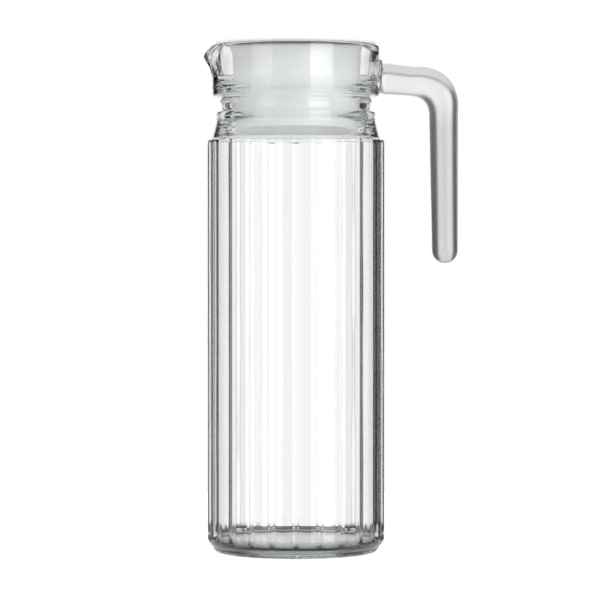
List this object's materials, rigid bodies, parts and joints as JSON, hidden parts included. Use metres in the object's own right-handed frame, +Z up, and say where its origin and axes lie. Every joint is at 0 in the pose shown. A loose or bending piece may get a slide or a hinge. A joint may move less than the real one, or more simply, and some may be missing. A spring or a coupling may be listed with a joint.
{
  "type": "glass fridge jug",
  "caption": "Tall straight jug of ribbed clear glass with a pouring lip, an open-ended glass handle and a plastic lid that turns and lifts out.",
  "frame": {"origin": "on the vessel's axis, in the plane of the table that the foot ring stands on", "axes": "+Z up along the vessel's axis, +X towards the handle, so the pouring lip points to -X and +Y is across the jug"},
  "size_m": [0.1268, 0.0884, 0.2543],
  "materials": {
    "clear_glass": "fire-polished clear soda-lime glass with a faint green edge",
    "white_plastic": "satin moulded polyethylene",
    "soft_ring": "soft grey silicone"
  },
  "bodies": {
    "jug": {"glass_vessel": "clear_glass", "glass_handle": "clear_glass"},
    "seal": {"lid_seal": "soft_ring"},
    "cap": {"lid": "white_plastic"}
  },
  "joints": [
    {"name": "lid_lift", "type": "slide", "parent": "jug", "child": "seal", "axis": [0, 0, 1], "range_m": [0, 0.05]},
    {"name": "lid_turn", "type": "hinge", "parent": "seal", "child": "cap", "pos_m": [0, 0, 0.2526], "axis": [0, 0, 1], "continuous": true}
  ]
}
